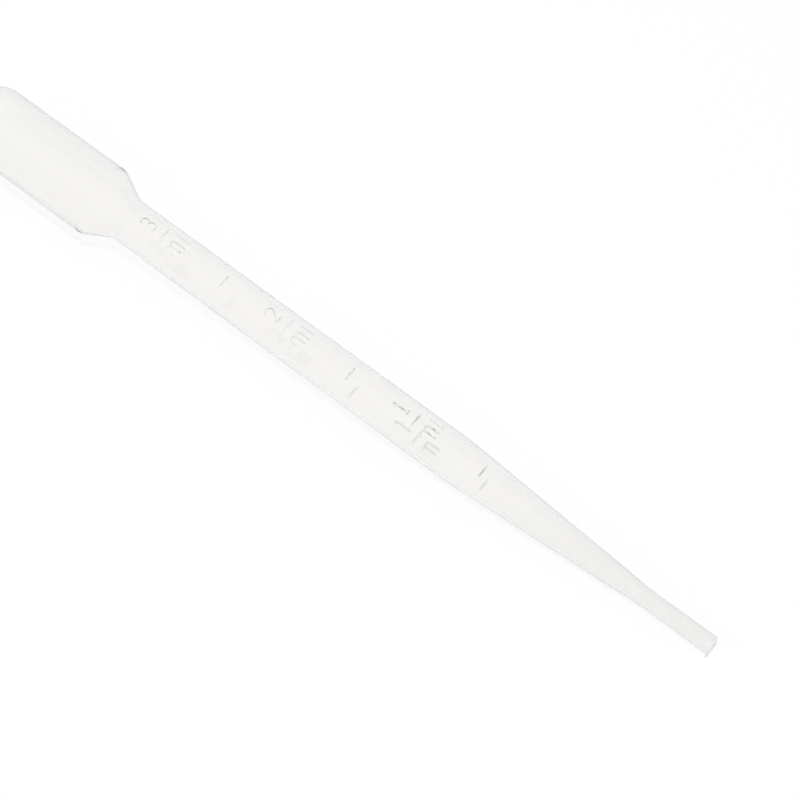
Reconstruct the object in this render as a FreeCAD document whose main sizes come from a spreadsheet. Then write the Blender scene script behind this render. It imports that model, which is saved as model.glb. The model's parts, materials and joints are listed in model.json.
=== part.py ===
"""A graduated dropper pipette, blow-moulded in one piece from low-density polyethylene.

It is drawn along the X axis with the middle of its mouth at the origin, the tip at +X and the bulb
at -X, so a place on it is its distance back from the mouth. The outer form is turned first, the
weld and the marks are added to it, and the hollow is cut last. Then it is laid down as it rests on
a table, marks up: on the round of the bulb's shoulder and on the stem where the taper starts, with
the tip just clear of the table and a small flat in the soft wall at each place that it rests on.
Millimetres, +Z up, origin on the table under the middle of the box.
"""
import FreeCAD, Part

import os
from math import atan2, pi, sqrt

import Sketcher

SIZES = {
    # The tip, drawn down to a thick-walled parallel tube that opens a little at its mouth
    "tip_length": 13.3,
    "tip_diameter": 3.25,
    "tip_bore": 1.9,
    "mouth_diameter": 3.4,
    "mouth_bevel": 0.15,
    "flare_length": 5.0,
    # The taper from the tip up to the stem
    "taper_length": 36.6,
    "taper_round": 90.0,
    # The stem, as long as its marks need
    "stem_diameter": 7.9,
    "stem_wall": 0.5,
    "stem_above_marks": 8.4,
    # The shoulder and the bulb
    "shoulder_length": 5.3,
    "shoulder_hollow": 4.0,
    "shoulder_round": 2.5,
    "bulb_diameter": 13.3,
    "bulb_wall": 0.5,
    "bulb_length": 29.7,
    "crown_radius": 8.5,
    "knuckle_radius": 5.0,
    # The line across the crown where the mould pinched the bulb shut
    "weld_thickness": 0.8,
    "weld_height": 0.35,
    # Raised marks every half millilitre: long at the whole ones, short between them
    "mark_volume": 500.0,
    "mark_width": 0.43,
    "mark_height": 0.18,
    "long_mark": 4.3,
    "short_mark": 2.9,
    # How deep the soft wall is flattened where it lies
    "rest_flat": 0.08,
}
WHOLE_MARKS = 3

# The turned faces start this many degrees off upright, so that their seam crosses no mark
SEAM_TURN = 60

# How a sketch names its own axes and its origin point
LENGTHWISE, UPRIGHT = -1, -2
ORIGIN = (-1, 1)

# Radii and the places along the pipette, worked out from the sizes
TIP_RADIUS = "(dims.tip_diameter / 2)"
STEM_RADIUS = "(dims.stem_diameter / 2)"
BULB_RADIUS = "(dims.bulb_diameter / 2)"
TIP_BORE_RADIUS = "(dims.tip_bore / 2)"
STEM_BORE_RADIUS = f"({STEM_RADIUS} - dims.stem_wall)"
BULB_BORE_RADIUS = f"({BULB_RADIUS} - dims.bulb_wall)"
TIP_END = "dims.tip_length"
STEM_START = "(dims.tip_length + dims.taper_length)"

# What the tip and the taper hold, and how far apart the marks on the stem are
BORE_SLOPE = f"(({STEM_BORE_RADIUS} - {TIP_BORE_RADIUS}) / dims.taper_length)"
TIP_VOLUME = f"(pi * {TIP_BORE_RADIUS} ^ 2 * dims.tip_length)"
TAPER_VOLUME = f"(pi * ({STEM_BORE_RADIUS} ^ 3 - {TIP_BORE_RADIUS} ^ 3) / 3 / {BORE_SLOPE})"
STEM_BORE_AREA = f"(pi * {STEM_BORE_RADIUS} ^ 2)"
MARK_PITCH = f"(dims.mark_volume / {STEM_BORE_AREA})"


def level_in_stem(marks):
    """How far up the pipette so many mark volumes fill it, where that level is in the stem."""
    above_taper = f"({marks} * dims.mark_volume - {TIP_VOLUME} - {TAPER_VOLUME})"
    return f"({STEM_START} + {above_taper} / {STEM_BORE_AREA})"


def level_in_taper(marks):
    """The same where the level is in the taper, whose bore is a cone."""
    in_taper = f"({marks} * dims.mark_volume - {TIP_VOLUME})"
    bore_radius = f"cbrt({TIP_BORE_RADIUS} ^ 3 + 3 * {BORE_SLOPE} * {in_taper} / pi)"
    return f"({TIP_END} + ({bore_radius} - {TIP_BORE_RADIUS}) / {BORE_SLOPE})"


# A narrow stem can take the lowest mark above the taper: there the cone would be wider than the stem
LOWEST_MARK = (
    f"(dims.mark_volume < {TIP_VOLUME} + {TAPER_VOLUME}"
    f" ? {level_in_taper(1)} : {level_in_stem(1)})"
)
WALL_SLOPE = f"(({STEM_RADIUS} - {TIP_RADIUS}) / dims.taper_length)"
LOWEST_MARK_RADIUS = f"min({STEM_RADIUS}; {TIP_RADIUS} + {WALL_SLOPE} * ({LOWEST_MARK} - {TIP_END}))"
STEM_END = f"({level_in_stem(2 * WHOLE_MARKS)} + dims.stem_above_marks)"
BULB_START = f"({STEM_END} + dims.shoulder_length)"
BULB_END = f"({BULB_START} + dims.bulb_length)"

# How it lies: on the round of the bulb's shoulder and on whatever comes down first towards the tip,
# the round where the taper starts or the edge of the mouth. In the upright section each of them is a
# circle, and the table touches it from below. A round's middle is half its turn back along the wall
# from the corner that it rounds.
TAPER_TURN = f"atan({WALL_SLOPE})"
SHOULDER_TURN = f"atan(({BULB_RADIUS} - {STEM_RADIUS}) / dims.shoulder_length)"
STEM_CONTACT = f"({STEM_START} + dims.taper_round * tan({TAPER_TURN} / 2))"
BULB_CONTACT = f"({BULB_START} + dims.shoulder_round * tan({SHOULDER_TURN} / 2))"


def lean_onto(distance_back, depth, radius):
    """How far it leans when it lies on the bulb's shoulder and on a circle of this radius, whose
    middle is this deep under the axis.
    """
    apart = f"({BULB_CONTACT} - {distance_back})"
    drop = f"({BULB_RADIUS} - dims.shoulder_round - ({depth}))"
    radii_differ = f"(dims.shoulder_round - {radius})"
    return f"(atan2({drop}; {apart}) + asin({radii_differ} / hypot({drop}; {apart})))"


LEAN_ON_STEM = lean_onto(STEM_CONTACT, f"{STEM_RADIUS} - dims.taper_round", "dims.taper_round")
LEAN_ON_MOUTH = lean_onto("0", "dims.mouth_diameter / 2", "0")
LYING_ANGLE = f"min({LEAN_ON_STEM}; {LEAN_ON_MOUTH})"
LYING_HEIGHT = (
    f"(dims.shoulder_round + ({BULB_RADIUS} - dims.shoulder_round) * cos({LYING_ANGLE})"
    f" - {BULB_CONTACT} * sin({LYING_ANGLE}) - dims.rest_flat)"
)
TABLE_UNDER_MOUTH = f"({LYING_HEIGHT} / cos({LYING_ANGLE}))"
TOTAL_LENGTH = f"({BULB_END} + dims.weld_height)"
HALF_LYING_LENGTH = (
    f"({TOTAL_LENGTH} * cos({LYING_ANGLE}) / 2"
    f" + (dims.weld_thickness - dims.mouth_diameter) / 4 * sin({LYING_ANGLE}))"
)


def make_sheet(document):
    """The sheet of driving sizes, each under its own name."""
    sheet = document.addObject("Spreadsheet::Sheet", "dims")
    for row, (name, value) in enumerate(SIZES.items(), 1):
        sheet.set(f"A{row}", name)
        sheet.set(f"B{row}", str(value))
        sheet.setAlias(f"B{row}", name)
    document.recompute()


def add_sketch(body, name, plane_role, turn=0):
    """A sketch on one of the body's own origin planes, or turned from it about the X axis."""
    plane = next(p for p in body.Origin.OriginFeatures if p.Role == plane_role)
    sketch = body.newObject("Sketcher::SketchObject", name)
    sketch.AttachmentSupport = (plane, [""])
    sketch.MapMode = "FlatFace"
    about_axis = FreeCAD.Rotation(FreeCAD.Vector(1, 0, 0), turn)
    sketch.AttachmentOffset = FreeCAD.Placement(FreeCAD.Vector(), about_axis)
    return sketch


def value_of(sketch, size):
    """What a size works out to now, to draw a curve in its place before it is tied."""
    return float(sketch.evalExpression(size))


def place_of(sketch, distance_back, height):
    """The point so far back from the mouth and so far over the axis."""
    return FreeCAD.Vector(-value_of(sketch, distance_back), value_of(sketch, height), 0)


def tie(sketch, name, kind, elements, size):
    """Add a dimension under a name of its own and tie it to a size."""
    dimension = Sketcher.Constraint(kind, *elements, value_of(sketch, size))
    sketch.renameConstraint(sketch.addConstraint(dimension), name)
    sketch.setExpression(f"Constraints.{name}", size)


def tie_back(sketch, name, curve, end, distance_back):
    """Tie a curve's end to its distance back from the mouth."""
    tie(sketch, f"{name}_back", "DistanceX", (curve, end, *ORIGIN), distance_back)


def tie_height(sketch, name, curve, end, height):
    """Tie a curve's end to its height over the axis."""
    tie(sketch, f"{name}_height", "DistanceY", (*ORIGIN, curve, end), height)


def add_round(sketch, name, run, radius):
    """Round the corner at the end of a straight run. The corner stays as a point, tied as it was."""
    sketch.fillet(run, 2, value_of(sketch, radius), True, True)
    arc = sketch.GeometryCount - 2
    tie(sketch, f"{name}_round", "Radius", (arc,), radius)


def arc_about(centre, radius, first_angle, last_angle):
    circle = Part.Circle(centre, FreeCAD.Vector(0, 0, 1), radius)
    return Part.ArcOfCircle(circle, first_angle, last_angle)


def draw_dome(sketch, bulb_radius, sunk):
    """The bulb's closed end: a knuckle that runs on from the bulb's side, and a wider crown."""
    knuckle_radius = f"dims.knuckle_radius - {sunk}"
    crown_radius = f"dims.crown_radius - {sunk}"
    small = value_of(sketch, knuckle_radius)
    large = value_of(sketch, crown_radius)
    rise = value_of(sketch, bulb_radius) - small
    crown_centre = place_of(sketch, f"{BULB_END} - dims.crown_radius", "0")
    knuckle_centre = crown_centre + FreeCAD.Vector(-sqrt((large - small) ** 2 - rise**2), rise, 0)
    to_meeting = knuckle_centre - crown_centre
    meeting = atan2(to_meeting.y, to_meeting.x)
    knuckle = sketch.addGeometry(arc_about(knuckle_centre, small, pi / 2, meeting))
    crown = sketch.addGeometry(arc_about(crown_centre, large, meeting, pi))
    sketch.addConstraint(
        [
            Sketcher.Constraint("Tangent", knuckle, 2, crown, 1),
            Sketcher.Constraint("PointOnObject", crown, 2, LENGTHWISE),
            Sketcher.Constraint("PointOnObject", crown, 3, LENGTHWISE),
        ]
    )
    tie(sketch, "knuckle", "Radius", (knuckle,), knuckle_radius)
    tie(sketch, "crown", "Radius", (crown,), crown_radius)
    tie_back(sketch, "end", crown, 2, f"{BULB_END} - {sunk}")
    return knuckle, crown


def draw_side(sketch, corners, sunk):
    """A side of the wall, from the mouth to the bulb's end on the axis: straight runs between
    corners, each given as its name, distance back, height and round, then the dome.
    """
    *_, (_, _, bulb_radius, _) = corners
    knuckle, crown = draw_dome(sketch, bulb_radius, sunk)
    places = [place_of(sketch, back, height) for _, back, height, _ in corners]
    places.append(sketch.getPoint(knuckle, 1))
    runs = [
        sketch.addGeometry(Part.LineSegment(start, end))
        for start, end in zip(places, places[1:])
    ]
    for run, (name, back, height, _) in zip(runs, corners):
        tie_height(sketch, name, run, 1, height)
        if run == runs[0]:
            sketch.addConstraint(Sketcher.Constraint("PointOnObject", run, 1, UPRIGHT))
        else:
            tie_back(sketch, name, run, 1, back)
            sketch.addConstraint(Sketcher.Constraint("Coincident", run - 1, 2, run, 1))
    sketch.addConstraint(Sketcher.Constraint("Horizontal", runs[-1]))
    sketch.addConstraint(Sketcher.Constraint("Tangent", runs[-1], 2, knuckle, 1))
    for run, (name, _, _, radius) in zip(runs, corners[1:]):
        if radius:
            add_round(sketch, name, run, radius)
    return (runs[0], 1), (crown, 2)


def close_section(sketch, mouth, end):
    """Close a side across the mouth and along the axis."""
    origin = FreeCAD.Vector()
    across = sketch.addGeometry(Part.LineSegment(origin, sketch.getPoint(*mouth)))
    along = sketch.addGeometry(Part.LineSegment(sketch.getPoint(*end), origin))
    for first, second in (
        ((across, 2), mouth),
        ((along, 1), end),
        ((across, 1), ORIGIN),
        ((along, 2), ORIGIN),
    ):
        sketch.addConstraint(Sketcher.Constraint("Coincident", *first, *second))


def add_turned(body, kind, name, corners, sunk):
    """Turn a section about the axis, into solid or out of it."""
    section = add_sketch(body, f"{name}_section", "XZ_Plane", SEAM_TURN)
    close_section(section, *draw_side(section, corners, sunk))
    turned = body.newObject(kind, name)
    turned.Profile = section
    turned.ReferenceAxis = (section, ["H_Axis"])
    turned.Angle = 360


def add_outer_form(body):
    """The outside of the wall, as a full solid."""
    corners = [
        ("mouth", "0", "dims.mouth_diameter / 2", None),
        ("flare", "dims.flare_length", TIP_RADIUS, None),
        ("tip", TIP_END, TIP_RADIUS, "dims.taper_round"),
        ("taper", STEM_START, STEM_RADIUS, "dims.taper_round"),
        ("stem", STEM_END, STEM_RADIUS, "dims.shoulder_hollow"),
        ("shoulder", BULB_START, BULB_RADIUS, "dims.shoulder_round"),
    ]
    add_turned(body, "PartDesign::Revolution", "outer_form", corners, "0")


def cut_hollow(body):
    """The inside of the wall, open only at the mouth, where its edge is bevelled."""
    corners = [
        ("mouth", "0", f"{TIP_BORE_RADIUS} + dims.mouth_bevel", None),
        ("bevel", "dims.mouth_bevel", TIP_BORE_RADIUS, None),
        ("tip", TIP_END, TIP_BORE_RADIUS, "dims.taper_round"),
        ("taper", STEM_START, STEM_BORE_RADIUS, "dims.taper_round"),
        ("stem", STEM_END, STEM_BORE_RADIUS, "dims.shoulder_hollow + dims.stem_wall"),
        ("shoulder", BULB_START, BULB_BORE_RADIUS, "dims.shoulder_round - dims.bulb_wall"),
    ]
    add_turned(body, "PartDesign::Groove", "hollow", corners, "dims.bulb_wall")


def add_weld(body):
    """The weld where the mould pinched the bulb shut: a low fin over the crown, in the plane where
    the mould parts. Its arc leaves the dome at the crown's rim, where the knuckle begins.
    """
    rim_height = (
        f"(dims.crown_radius * ({BULB_RADIUS} - dims.knuckle_radius)"
        " / (dims.crown_radius - dims.knuckle_radius))"
    )
    rim_back = f"({BULB_END} - dims.crown_radius + sqrt(dims.crown_radius ^ 2 - {rim_height} ^ 2))"
    arc_rise = f"({TOTAL_LENGTH} - {rim_back})"
    arc_radius = f"(({rim_height} ^ 2 + {arc_rise} ^ 2) / 2 / {arc_rise})"

    outline = add_sketch(body, "weld_outline", "XY_Plane")
    start = place_of(outline, rim_back, rim_height)
    top = place_of(outline, TOTAL_LENGTH, "0")
    end = FreeCAD.Vector(start.x, -start.y, 0)
    arc = outline.addGeometry(Part.Arc(start, top, end))
    chord = outline.addGeometry(Part.LineSegment(end, start))
    for arc_end, chord_end in ((1, 2), (2, 1)):
        outline.addConstraint(Sketcher.Constraint("Coincident", arc, arc_end, chord, chord_end))
    outline.addConstraint(Sketcher.Constraint("PointOnObject", arc, 3, LENGTHWISE))
    outline.addConstraint(Sketcher.Constraint("Vertical", chord))
    tie(outline, "arc_radius", "Radius", (arc,), arc_radius)
    tie_back(outline, "arc_centre", arc, 3, f"{TOTAL_LENGTH} - {arc_radius}")
    tie_back(outline, "rim", chord, 1, rim_back)
    weld = body.newObject("PartDesign::Pad", "weld")
    weld.Profile = outline
    weld.Midplane = True
    weld.setExpression("Length", "dims.weld_thickness")


def add_mark(body, name, distance_back, wall_radius, length):
    """One raised mark: a round bead, half sunk in the wall, that runs part of the way round."""
    radius = "dims.mark_width / 2"
    height = f"{wall_radius} + dims.mark_height - {radius}"
    bead = add_sketch(body, f"{name}_bead", "XZ_Plane")
    centre = place_of(bead, distance_back, height)
    circle = bead.addGeometry(
        Part.Circle(centre, FreeCAD.Vector(0, 0, 1), value_of(bead, radius))
    )
    tie(bead, "bead_radius", "Radius", (circle,), radius)
    tie_back(bead, "bead", circle, 3, distance_back)
    tie_height(bead, "bead", circle, 3, height)
    mark = body.newObject("PartDesign::Revolution", name)
    mark.Profile = bead
    mark.ReferenceAxis = (bead, ["H_Axis"])
    mark.Midplane = True
    mark.setExpression("Angle", f"{length} / ({wall_radius}) * 180 / pi")
    return mark


def repeat_mark(body, mark, count):
    """Repeat a mark up the stem, two half-millilitre steps at a time."""
    pattern = body.newObject("PartDesign::LinearPattern", f"{mark.Name}s")
    pattern.Originals = [mark]
    pattern.Direction = (mark.Profile[0], ["H_Axis"])
    pattern.Reversed = True
    pattern.setExpression("Length", f"{2 * (count - 1)} * {MARK_PITCH}")
    pattern.Occurrences = count
    body.Tip = pattern


def cut_rest_flats(body):
    """The flats that it lies on: all that would be under the table's top is cut away."""
    outline = add_sketch(body, "under_table", "XZ_Plane")
    corners = [
        ("mouth_top", "0", f"-{TABLE_UNDER_MOUTH}"),
        ("end_top", TOTAL_LENGTH, f"-{TABLE_UNDER_MOUTH} - {TOTAL_LENGTH} * tan({LYING_ANGLE})"),
        ("end_bottom", TOTAL_LENGTH, "-dims.bulb_diameter"),
        ("mouth_bottom", "0", "-dims.bulb_diameter"),
    ]
    places = [place_of(outline, back, height) for _, back, height in corners]
    edges = [
        outline.addGeometry(Part.LineSegment(start, end))
        for start, end in zip(places, places[1:] + places[:1])
    ]
    for edge, (name, back, height) in zip(edges, corners):
        outline.addConstraint(Sketcher.Constraint("Coincident", edges[edge - 1], 2, edge, 1))
        tie_height(outline, name, edge, 1, height)
        if back == "0":
            outline.addConstraint(Sketcher.Constraint("PointOnObject", edge, 1, UPRIGHT))
        else:
            tie_back(outline, name, edge, 1, back)
    flats = body.newObject("PartDesign::Pocket", "rest_flats")
    flats.Profile = outline
    flats.Midplane = True
    flats.setExpression("Length", "dims.bulb_diameter")


def lay_down(body):
    """Turn and lift the body to the place where it lies at rest."""
    across = FreeCAD.Rotation(FreeCAD.Vector(0, 1, 0), 1)
    body.Placement = FreeCAD.Placement(FreeCAD.Vector(), across)
    body.setExpression("Placement.Rotation.Angle", LYING_ANGLE)
    body.setExpression("Placement.Base.x", HALF_LYING_LENGTH)
    body.setExpression("Placement.Base.z", LYING_HEIGHT)


def make_pipette(document):
    """The one moulded piece: its wall, the weld on its bulb and its marks."""
    body = document.addObject("PartDesign::Body", "pipette")
    body.Label = "pipette"
    add_outer_form(body)
    add_weld(body)
    add_mark(body, "lowest_mark", LOWEST_MARK, LOWEST_MARK_RADIUS, "dims.short_mark")
    long_mark = add_mark(body, "long_mark", level_in_stem(2), STEM_RADIUS, "dims.long_mark")
    repeat_mark(body, long_mark, WHOLE_MARKS)
    short_mark = add_mark(body, "short_mark", level_in_stem(3), STEM_RADIUS, "dims.short_mark")
    repeat_mark(body, short_mark, WHOLE_MARKS - 1)
    cut_rest_flats(body)
    cut_hollow(body)
    lay_down(body)
    return body


def check(document, body):
    """Stop if anything failed to build."""
    for thing in document.Objects:
        if {"Invalid", "Error"} & set(thing.State):
            raise RuntimeError(f"{thing.Name} did not build: {thing.State}")
    if body.Shape.isNull() or not body.Shape.isValid():
        raise RuntimeError(f"{body.Label} has no valid shape")
    if len(body.Shape.Solids) != 1:
        raise RuntimeError(f"{body.Label} is not one solid")


def main():
    document = FreeCAD.newDocument("dropper_pipette")
    make_sheet(document)
    pipette = make_pipette(document)
    document.recompute()
    check(document, pipette)
    os.makedirs("parts", exist_ok=True)
    pipette.Shape.exportStep(f"parts/{pipette.Label}.step")


main()
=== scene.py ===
"""A graduated dropper pipette, blow-moulded in one piece from natural polyethylene, on a white table.

Its wall is one closed mesh: a section of the wall turned about the pipette's own axis, with the marks,
numerals and unit signs swept along it as round beads and joined to it. A place on the pipette is its
distance back from the mouth, its height over the axis and its turn from the top. Metres, +Z up.
"""
import json
from math import acos, atan2, ceil, cos, pi, radians, sin, sqrt, tan

import bpy
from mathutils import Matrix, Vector

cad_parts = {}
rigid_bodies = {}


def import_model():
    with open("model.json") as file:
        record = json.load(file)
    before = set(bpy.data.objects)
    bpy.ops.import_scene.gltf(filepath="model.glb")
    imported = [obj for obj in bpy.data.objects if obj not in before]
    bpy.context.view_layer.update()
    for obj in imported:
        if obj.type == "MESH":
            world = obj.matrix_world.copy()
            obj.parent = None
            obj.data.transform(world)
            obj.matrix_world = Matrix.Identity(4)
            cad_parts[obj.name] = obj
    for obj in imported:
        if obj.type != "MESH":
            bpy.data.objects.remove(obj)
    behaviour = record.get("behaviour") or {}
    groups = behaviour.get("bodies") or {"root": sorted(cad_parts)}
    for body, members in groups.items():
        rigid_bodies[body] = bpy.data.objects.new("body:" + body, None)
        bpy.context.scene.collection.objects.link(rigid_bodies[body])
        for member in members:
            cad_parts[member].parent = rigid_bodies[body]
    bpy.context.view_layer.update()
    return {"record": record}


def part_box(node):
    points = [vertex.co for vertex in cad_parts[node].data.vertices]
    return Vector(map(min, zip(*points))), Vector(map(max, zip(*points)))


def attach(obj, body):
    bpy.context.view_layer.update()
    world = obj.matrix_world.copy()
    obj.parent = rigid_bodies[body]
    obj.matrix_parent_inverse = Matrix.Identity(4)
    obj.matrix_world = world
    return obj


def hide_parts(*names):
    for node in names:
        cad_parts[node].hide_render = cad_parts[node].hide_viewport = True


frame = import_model()

bl_info = {
    "name": "Dropper pipette",
    "version": (1, 0, 0),
    "blender": (4, 5, 0),
    "location": "3D View > Sidebar > Pipette",
    "description": "Makes a graduated dropper pipette of translucent polyethylene, on a white table",
    "category": "Add Mesh",
}

MM = 0.001
MILLILITRE = 1e-6
WHOLE_MARKS = 3
NODE = "pipette"
BODY = "root"

# What the faces of the wall keep, for the finish to read
# The thickness kept on the faces darkens the thicker drawn tip, and paints shade down one side of the
# wall
THICK_TIP_AND_PAINTED_SIDE = "thickness"
# The stroke value kept on the faces says how strongly a stroke is painted dark as shade, and how much
# lamp light it holds back
PAINTED_STROKE_SHADE_MASK = "stroke"
CUT = "cut"

# What the point at a mark's level keeps, for the engraving to read
NUMBER = "number"
RADIUS = "radius"

# How finely the wall and the strokes are divided
WIDE_STEP = 1.5 * MM
ARC_STEP = 0.3 * MM
WIDE_TURN = radians(2)
BEAD_STEP = 0.35  # of the bead's radius
BEAD_SIDES = 16
FIGURE_STEP = 0.05  # of the figure's height
SHARP_EDGE = radians(40)

# The table, and where the two lamps hang over it, in metres
TABLE_SIZE = 6
KEY_PLACE = (0, -0.05, 1.6)
KEY_SIZE = 0.05
FILL_PLACE = (-0.9, -1.2, 1.4)
FILL_SIZE = 1.2

MOUNTS = {mount["name"]: mount for mount in frame["record"]["mounts"]}
AXIS = Vector(MOUNTS["stem"]["axis"])
LYING_ANGLE = atan2(-AXIS.z, AXIS.x)


def length(name, millimetres, description):
    """A size that a user can change, given in millimetres and kept in metres."""
    return bpy.props.FloatProperty(
        name=name, description=description, default=millimetres * MM, unit="LENGTH", precision=5
    )


def share(name, default, description):
    """A setting from 0 to 1."""
    return bpy.props.FloatProperty(
        name=name, description=description, default=default, min=0, max=1, subtype="FACTOR"
    )


def colour(name, default, description):
    """A colour, as red, green and blue from 0 to 1."""
    return bpy.props.FloatVectorProperty(
        name=name, description=description, default=default, min=0, max=1, subtype="COLOR"
    )


def angle(name, in_degrees, description):
    """An angle, given in degrees and kept in radians."""
    return bpy.props.FloatProperty(
        name=name, description=description, default=radians(in_degrees), unit="ROTATION"
    )


def amount(name, default, description, unit="NONE"):
    """A setting with no upper limit."""
    return bpy.props.FloatProperty(
        name=name, description=description, default=default, min=0, unit=unit
    )


def mount_diameter(mount):
    """Across a mount of the part, in millimetres."""
    return 2 * MOUNTS[mount]["dims"]["r_mm"]


class WallSizes(bpy.types.PropertyGroup):
    """The moulded wall, from the mouth back to the bulb's end."""

    tip_diameter: length("Tip", mount_diameter("tip"), "Across the drawn tip")
    tip_bore: length("Tip bore", mount_diameter("tip_bore"), "Across the bore of the tip")
    mouth_diameter: length("Mouth", 3.4, "Across the open end, where the tip flares a little")
    mouth_edge: length("Mouth edge", 0.12, "Round of the two edges of the mouth")
    flare_length: length("Flare", 5.0, "How far back from the mouth the flare reaches")
    tip_length: length("Tip length", 13.3, "From the mouth to the start of the taper")
    taper_length: length("Taper length", 36.6, "From the tip to the stem")
    taper_round: length("Taper round", 90.0, "Round of the wall at both ends of the taper")
    stem_diameter: length("Stem", mount_diameter("stem"), "Across the graduated stem")
    stem_wall: length("Stem wall", 0.5, "Thickness of the stem's wall")
    stem_above_marks: length("Stem above marks", 8.4, "From the highest mark to the shoulder")
    shoulder_length: length("Shoulder length", 5.3, "From the stem to the bulb")
    shoulder_hollow: length("Shoulder hollow", 4.0, "Round where the stem meets the shoulder")
    shoulder_round: length("Shoulder round", 2.5, "Round where the shoulder meets the bulb")
    bulb_diameter: length("Bulb", 13.3, "Across the squeeze bulb")
    bulb_wall: length("Bulb wall", 0.5, "Thickness of the bulb's wall")
    bulb_length: length("Bulb length", 29.7, "From the shoulder to the bulb's end")
    crown_radius: length("Crown", 8.5, "Radius of the bulb's closed end")
    knuckle_radius: length("Knuckle", 5.0, "Radius that joins the bulb's side to its closed end")
    weld_thickness: length("Weld", 0.8, "Thickness of the weld across the closed end")
    weld_height: length("Weld height", 0.35, "How far the weld stands out")
    parting_width: length("Parting line", 0.3, "Width of the line that the mould leaves on each side")
    parting_height: length("Parting height", 0.005, "How far that line stands out")
    unevenness: length("Unevenness", 0.02, "How far the blown wall strays from its true form")


class MarkSizes(bpy.types.PropertyGroup):
    """The raised graduation: a mark every half millilitre, numbered at the whole ones."""

    stroke: length("Stroke", 0.32, "Thickness of the round bead that each stroke is")
    height: length("Stroke height", 0.18, "How far a stroke stands out of the wall")
    side_sink: length("Side sink", 0.12, "How much lower the strokes stand round the stem's sides")
    long_mark: length("Long mark", 4.3, "Length of the mark at a whole millilitre")
    short_mark: length("Short mark", 2.9, "Length of the mark between two whole ones")
    numeral_height: length("Numeral", 2.9, "Height of a numeral")
    numeral_above: length("Numeral gap", 1.8, "From a long mark up to the foot of its numeral")
    numeral_aside: length("Numeral offset", 0.3, "How far the numerals stand to the right")
    unit_below: length("Unit gap", 1.9, "From a long mark down to the top of the unit's m")
    unit_aside: length("Unit offset", 0.58, "How far the m's last leg stands to the right")
    unit_height: length("Unit height", 2.6, "Height of the unit's m")


class PlasticFinish(bpy.types.PropertyGroup):
    """The natural, slightly milky polyethylene."""

    tint: colour("Tint", (1.0, 0.997, 0.993), "Colour of the wall's surface")
    # Thick tint darkens the thicker drawn tip, and is painted shade down one side of the wall
    thick_tip_and_side_shade_tint: colour("Thick tint", (0.9, 0.9, 0.895), "Colour where its wall is thick")
    depth_tint: colour("Depth tint", (0.4, 0.37, 0.33), "Colour that light takes on in the plastic")
    depth_density: amount("Depth density", 70, "How soon it takes that on, per metre")
    # Stroke tint is painted shade, for the dark lines that light bent through the raised strokes shows
    stroke_painted_shade: colour("Stroke tint", (0.4, 0.4, 0.395), "Colour of the raised strokes")
    refraction: amount("Refraction", 1.4, "How strongly the plastic bends light")
    clearness: share("Clearness", 1.0, "How much light goes straight through the wall")
    roughness: share("Roughness", 0.09, "Haze of the wall's satin surface")
    cut_tint: colour("Cut tint", (0.93, 0.93, 0.925), "Colour of the cut face at the mouth")
    cut_pale_tint: colour("Cut pale tint", (0.97, 0.97, 0.965), "Its colour along the knife's lines")
    cut_roughness: share("Cut roughness", 0.5, "Haze of the cut face")
    shade: share("Shade", 0.995, "How much of the room's light each side of the wall lets through")
    stroke_shade: share("Stroke shade", 0.12, "How much of that light a raised stroke lets through")
    grain: share("Grain", 0.05, "Strength of the fine grain that the mould leaves")
    draw_lines: share("Draw lines", 0.02, "Strength of the faint lines drawn along the wall")


class StudioSettings(bpy.types.PropertyGroup):
    """The white table, the soft lamps and the camera."""

    camera_azimuth: angle("Azimuth", 37.66, "Way round from which the camera looks")
    camera_elevation: angle("Elevation", 66.8, "How far over the table the camera looks from")
    camera_distance: length("Distance", 328.4, "From the camera to the point that it looks at")
    focal_length: amount("Focal length", 90, "Of the camera's lens, in millimetres")
    aim_from_mouth: length("Aim from mouth", 64.0, "Where along the pipette the camera looks")
    aim_aside: length("Aim aside", 2.45, "How far beside the pipette's axis it looks")
    table_colour: colour("Table", (0.97, 0.97, 0.97), "Colour of the table's matt top")
    table_glow: share("Table glow", 0.4, "How far the table turns pure white where it is looked at")
    sky: share("Sky", 0.47, "Brightness of the room's own light")
    room_front: share("Room in front", 1.0, "Brightness of the near side of the room when looked at")
    room_back: share("Room behind", 0.85, "Brightness of its far side when looked at")
    key_power: amount("Key lamp", 12.5, "Power of the lamp overhead", "POWER")
    fill_power: amount("Fill lamp", 5, "Power of the large soft lamp in front", "POWER")


# Places along the pipette, in metres back from its mouth


def level(volume):
    """How far back from the mouth so many cubic metres fill the pipette."""
    wall = bpy.context.scene.pipette_wall
    tip_bore = wall.tip_bore / 2
    stem_bore = wall.stem_diameter / 2 - wall.stem_wall
    slope = (stem_bore - tip_bore) / wall.taper_length
    in_tip = pi * tip_bore**2 * wall.tip_length
    in_taper = pi * (stem_bore**3 - tip_bore**3) / 3 / slope
    if volume < in_tip + in_taper:
        bore = (tip_bore**3 + 3 * slope * (volume - in_tip) / pi) ** (1 / 3)
        return wall.tip_length + (bore - tip_bore) / slope
    in_stem = volume - in_tip - in_taper
    return wall.tip_length + wall.taper_length + in_stem / (pi * stem_bore**2)


def mark_levels():
    """Each mark's distance back from the mouth, and its whole number of millilitres or 0."""
    return [
        (level(halves * MILLILITRE / 2), halves // 2 if halves % 2 == 0 else 0)
        for halves in range(1, 2 * WHOLE_MARKS + 1)
    ]


def wall_radius(distance):
    """The outside radius of the stem or of the taper below it."""
    wall = bpy.context.scene.pipette_wall
    up_taper = (distance - wall.tip_length) / wall.taper_length
    return min(1, up_taper) * (wall.stem_diameter - wall.tip_diameter) / 2 + wall.tip_diameter / 2


def stem_end():
    """Where the stem meets the shoulder."""
    return level(WHOLE_MARKS * MILLILITRE) + bpy.context.scene.pipette_wall.stem_above_marks


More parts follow.
